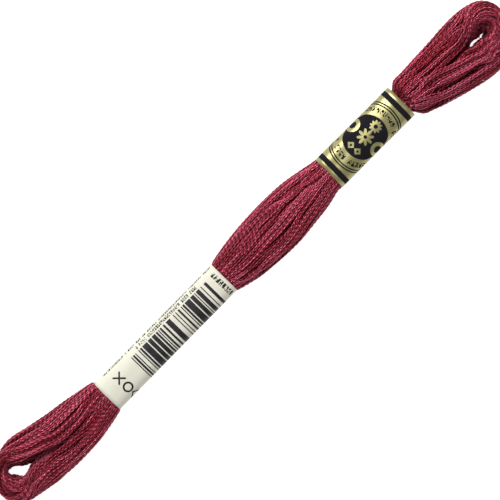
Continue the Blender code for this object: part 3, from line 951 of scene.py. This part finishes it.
# The print, in millimetres along a band and round it from its top
PRINT_SPAN = 100.0  # the millimetres that a band's whole UV square stands for
BARS_ALONG, BARS_ROUND = (-8.9, 15.4), (-8.6, 2.25)
BAR_MODULE = 0.256
SYMBOL_X = -14.1
SYMBOL_PLACES = (0.9, -1.95, -4.8)
STRIPES = (9.45, 10.75)  # the black stripe at each end of the gold band
FOIL_FIELD = 9.1  # the gold between the stripes, to each side of the middle
FIELD_RADIUS, SIDE_PLACE, SIDE_RADIUS = 5.3, 4.3, 2.15  # the black field and the bulge on each side of it
MARK_RADII, MARK_MIDDLE = (6.15, 7.4), 6.7  # the circle of fine marks round the field
MARKS = ((1.0, 9.6, 21.0), (-1.0, 6.0, 22.0))  # from its +X and its -X side: how far each way, and a seed
OUTER_CIRCLE, INNER_CIRCLE = (8.46, 8.78), (7.88, 8.20)
DIAMOND_X, DIAMOND_SIDE, SUN_X = -3.6, 1.05, 3.35


def floss_material():
    """Mercerised cotton: two plies with a crease between them, a satin gloss, slight shifts of tone, and
    painted shade in that crease and on the strands' sides that face into the skein.
    """
    n = Nodes("floss_cotton")
    _, around = n.uv("strand")
    # Painted shade in the crease between the two plies: the colour there is darkened by up to half; the bump
    # below also dents it
    crease = abs((around * (2 * math.pi)).math("SINE")) ** 2.0
    # Painted shade: sides of a strand that face into the skein are darkened towards the painted shade colour
    crown = ((n.attribute("crown") - CROWN_FROM) * (1 / (CROWN_TO - CROWN_FROM))).clamp()
    fibre, patch = n.noise(FIBRE_SCALE, 2.0), n.noise(PATCH_SCALE, 1.0)
    tone = (n.attribute("tone") + (patch - 0.5) * PATCH_TONE).clamp()
    # Painted shade in the creases and on inward sides, mixed over a random tone between middle and bright
    colour = n.mix((1.0 - crease * 0.5) * crown, FLOSS_PAINTED_SHADE, n.mix(tone, FLOSS_MIDDLE, FLOSS_BRIGHT))
    n.set({"Base Color": colour, "Roughness": fibre * 0.14 + 0.21, "Metallic": 0.5,
           "Specular IOR Level": 0.25, "Sheen Weight": 0.08, "Sheen Roughness": 0.4,
           "Sheen Tint": FLOSS_SHEEN})
    n.bump(fibre * 0.3 - crease, 0.00006)
    return n.material


def print_place(n):
    """Where a point of a paper band is on the flat strip: millimetres along it and round it from its top."""
    return [(place - 0.5) * PRINT_SPAN for place in n.uv("print")]


def dashes(n, along, across, span, rows, pitch, seed):
    """A line of small broken marks where the real strip has fine print: no letters, only their grain."""
    height = rows[1] - rows[0]
    word = n.cells(seed, (along, pitch)) > 0.16
    body = (along / pitch).math("FRACT") < 0.80
    grain = n.cells(seed + 5, (along, pitch * 0.27), (across, height / 3.5)) > 0.33
    return along.between(*span) & across.between(*rows) & word & body & grain


def paper_white_material():
    """Matt cream paper with bars, three chart symbols and lines of fine marks."""
    n = Nodes("paper_white")
    x, a = print_place(n)
    dx = abs(x - SYMBOL_X)
    cross, ring, diamond = (abs(a - place) for place in SYMBOL_PLACES)
    bar = n.cells(3.0, (x - BARS_ALONG[0], BAR_MODULE)) > 0.5
    ink = (x.between(*BARS_ALONG) & a.between(*BARS_ROUND) & bar
           | dashes(n, x, a, (-6.8, 12.9), (2.6, 3.55), 0.55, 11.0)
           | dashes(n, x, a, (-16.5, 18.4), (3.95, 4.8), 0.52, 12.0)
           | dashes(n, a, x, (-4.3, 2.6), (17.0, 18.3), 0.86, 13.0)
           | (dx.math("MAXIMUM", cross) < 1.15) & (abs(dx - cross) < 0.30)
           | length(dx, ring).between(0.80, 1.25)
           | (dx + diamond).between(0.85, 1.45))
    fibre = n.noise(900.0, 3.0)
    cream = n.mix(fibre, darker(PAPER_WHITE, 0.93), PAPER_WHITE)
    n.set({"Base Color": n.mix(ink, cream, INK), "Roughness": fibre * 0.15 + 0.5, "Specular IOR Level": 0.35})
    n.bump(fibre, 0.00003, 0.5)
    return n.material


def stitch_ornament(x, a):
    """The gold shapes in the black field: a flower, a ring on each side, two diamonds and a sun."""
    flower, sun_x = length(x, a), x - SUN_X
    sun = length(sun_x, a)
    gold = ((flower < petals(x, a, 4.0) * 1.25 + 0.75) & (flower > 0.42)
            | (sun < petals(sun_x, a, 5.0) * 0.55 + 0.95) & (sun > 0.5))
    for side in (-1, 1):
        diamond = abs(x - DIAMOND_X) + abs(a - side * DIAMOND_SIDE)
        gold = gold | length(x, a - side * SIDE_PLACE).between(0.95, 1.85) | diamond.between(0.35, 0.95)
    return gold


def paper_gold_material():
    """Gold foil paper with black end stripes and a round stitch ornament."""
    n = Nodes("paper_gold")
    x, a = print_place(n)
    away, far = abs(x), length(x, a)
    black = (away.between(*STRIPES) | (away < FOIL_FIELD) & far.between(*OUTER_CIRCLE)
             | far.between(*INNER_CIRCLE) | (far < FIELD_RADIUS))
    for side in (-1, 1):
        black = black | (length(x, a - side * SIDE_PLACE) < SIDE_RADIUS)
    for side, reach, seed in MARKS:
        along = a.math("ARCTAN2", x * side) * MARK_MIDDLE
        black = black | dashes(n, along, far, (-reach, reach), MARK_RADII, 0.95, seed)
    ink = black * (1.0 - stitch_ornament(x, a))
    streak = n.noise(500.0, 3.0)
    foil = n.mix(streak, darker(FOIL, 0.86), FOIL)
    n.set({"Base Color": n.mix(ink, foil, INK), "Metallic": (1.0 - ink) * 0.85,
           "Roughness": ink * 0.4 + 0.36 + streak * 0.12, "Specular IOR Level": 0.15})
    n.bump(streak, 0.00002, 0.4)
    return n.material


# ---------------------------------------------------------------- the paper bands


def band_outline(sleeve):
    """The wrapped strip in its section: points from the lap's inner end once around and over it again.

    Also how far round each point is from the top, and the strip's whole length."""
    half_width, half_height = sleeve.width / 2 - PAPER / 2, sleeve.height / 2 - PAPER / 2
    power = 2 / BAND_POWER
    full = BAND_START + 2 * math.pi
    angle = np.linspace(BAND_START, full + BAND_LAP, 1400)
    lift = np.clip((angle - full + BAND_RISE) / BAND_RISE, 0, 1)
    lift = LAP_LIFT * (ease(lift) - 1)
    y = np.sign(np.cos(angle)) * np.abs(np.cos(angle)) ** power * (half_width + lift)
    z = np.sign(np.sin(angle)) * np.abs(np.sin(angle)) ** power * (half_height + lift)
    run = running_length(np.stack([y, z], axis=1))
    even = np.linspace(0, run[-1], int(run[-1] / PAPER_STEP))
    top = np.interp(math.pi / 2, angle, run)
    return np.interp(even, run, y), np.interp(even, run, z), top - even, run[-1]


def make_band(sleeve, material, rng):
    """A strip of thin paper wrapped round the floss and lapped on itself underneath, and its length."""
    y, z, across, run = band_outline(sleeve)
    rows = int(sleeve.length / PAPER_LENGTH_STEP)
    x = np.linspace(-sleeve.length / 2, sleeve.length / 2, rows)
    xx, yy = np.meshgrid(x, y, indexing="ij")
    zz = np.broadcast_to(z, xx.shape)
    angle = np.arctan2(zz, yy)
    waves = rng.uniform(0, 2 * math.pi, DENT_WAVES + 1)
    dent = sum(DENT * np.sin((3 + k) * angle + waves[k] + xx * (0.05 + 0.04 * k)) for k in range(DENT_WAVES))
    inner, outer = dent - PAPER / 2 - BAND_INSET, dent + PAPER / 2 - BAND_INSET
    turn = np.array([[math.cos(sleeve.yaw), -math.sin(sleeve.yaw), 0],
                     [math.sin(sleeve.yaw), math.cos(sleeve.yaw), 0], [0, 0, 1]])
    layers = []
    for shift in (outer, inner):
        local = np.stack([xx, yy + shift * np.cos(angle), zz + shift * np.sin(angle)], -1).reshape(-1, 3)
        layers.append(local @ turn.T + sleeve.middle)
    count, columns = len(layers[0]), len(y)
    vertices = np.concatenate(layers) * MM
    index = np.arange(count).reshape(rows, columns)
    a, b, c, d = index[:-1, :-1], index[1:, :-1], index[1:, 1:], index[:-1, 1:]
    outside = np.stack([a, b, c, d], -1).reshape(-1, 4)
    faces = [outside, outside[:, ::-1] + count]
    rim = np.concatenate([index[0, :], index[1:, -1], index[-1, -2::-1], index[-2:0:-1, 0]])
    nxt = np.roll(rim, -1)
    faces.append(np.stack([rim, nxt, nxt + count, rim + count], -1))
    faces = np.concatenate(faces)
    mesh = bpy.data.meshes.new(sleeve.name + "_paper")
    mesh.from_pydata(vertices.tolist(), [], faces.tolist())
    place = np.stack([xx, np.broadcast_to(across, xx.shape)], -1).reshape(-1, 2) / PRINT_SPAN + 0.5
    place = np.concatenate([place, place])
    loops = np.zeros(len(mesh.loops), np.int32)
    mesh.loops.foreach_get("vertex_index", loops)
    mesh.uv_layers.new(name="print").data.foreach_set("uv", place[loops].reshape(-1))
    mesh.shade_smooth()
    mesh.materials.append(material)
    piece = add_object(mesh.name, mesh)
    return piece, run


# ---------------------------------------------------------------- studio


VIEW_WIDTH = 114.6  # what the camera sees across, in millimetres
VIEW_MIDDLE = (0.2, 1.2)
VIEW_LEVEL = 4.0  # the height at which the view is that wide
CAMERA_HEIGHT = 700.0
CAMERA_ROLL = math.radians(44.2)
SENSOR = 36.0
KEY_PLACE, KEY_SIZE = (0.16, 0.44, 0.55), 0.28  # in metres
KEY_SIDE = (0.62, 0.78)  # the shares of +Y and +Z in the direction that the main light comes from
KEY_POWER = 4.5
WORLD_LEVEL, WORLD_KEY, WORLD_LOW = 0.38, 0.62, 0.45


def make_camera():
    data = bpy.data.cameras.new("camera")
    data.sensor_width = SENSOR
    data.lens = SENSOR * (CAMERA_HEIGHT - VIEW_LEVEL) / VIEW_WIDTH
    data.clip_end = 10.0
    camera = add_object("camera", data)
    camera.location = Vector((*VIEW_MIDDLE, CAMERA_HEIGHT)) * MM
    camera.rotation_euler = (0.0, 0.0, -CAMERA_ROLL)
    bpy.context.scene.camera = camera


def add_key_light():
    data = bpy.data.lights.new("key", "AREA")
    data.shape = "SQUARE"
    data.size = KEY_SIZE
    data.energy = KEY_POWER
    light = add_object("key", data)
    light.visible_camera = False
    light.location = KEY_PLACE
    light.rotation_euler = (-Vector(KEY_PLACE)).to_track_quat("-Z", "Y").to_euler()


def make_world():
    """Soft light from all round, brighter on the key side and near the horizon, dim on the other side."""
    world = bpy.data.worlds.new("studio")
    world.use_nodes = True
    tree = world.node_tree
    background = tree.nodes["Background"]

    way = tree.nodes.new("ShaderNodeTexCoord").outputs["Generated"]
    split = tree.nodes.new("ShaderNodeSeparateXYZ")
    tree.links.new(way, split.inputs[0])
    y, z = (Value(tree, socket) for socket in split.outputs[1:])
    key = (y * KEY_SIDE[0] + z * KEY_SIDE[1]).math("MAXIMUM", 0.0) ** 2.0
    low = (1.0 - abs(z)) ** 3.0
    put(tree, background.inputs["Strength"], key * WORLD_KEY + WORLD_LEVEL + low * WORLD_LOW)
    background.inputs["Color"].default_value = (1.0, 1.0, 1.0, 1.0)
    bpy.context.scene.world = world


def make_studio():
    """A floor that is almost white by itself, with soft shadows, under one key light."""
    mesh = bpy.data.meshes.new("floor")
    half, level = 0.9, -0.0001
    mesh.from_pydata([(-half, -half, level), (half, -half, level), (half, half, level), (-half, half, level)],
                     [], [(0, 1, 2, 3)])
    floor = add_object("floor", mesh)
    n = Nodes("pale_floor")
    n.set({"Base Color": (0.3, 0.3, 0.3, 1.0), "Roughness": 1.0, "Specular IOR Level": 0.0,
           "Emission Color": (1.0, 1.0, 1.0, 1.0), "Emission Strength": 0.95})
    mesh.materials.append(n.material)
    make_world()
    add_key_light()
    bpy.context.scene.view_settings.view_transform = "Standard"


def main():
    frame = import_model()
    sleeves = [sleeve_of(name, frame["nodes"][name]) for name in ("paper_band_white", "paper_band_gold")]
    ring = Ring(Probe(frame["nodes"]["floss_skein"]), sleeves)
    rng = np.random.default_rng(SEED)
    floss = make_floss(ring, sleeves, floss_material())
    for piece in floss:
        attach(piece, "root")
        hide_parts("floss_skein")
    finishes = {"paper_band_white": (paper_white_material(), "white_paper"),
                "paper_band_gold": (paper_gold_material(), "gold_paper")}
    for sleeve in sleeves:
        material, slot = finishes[sleeve.name]
        piece, run = make_band(sleeve, material, rng)
        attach(piece, "root")
        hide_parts(sleeve.name)
    make_camera()
    make_studio()


main()
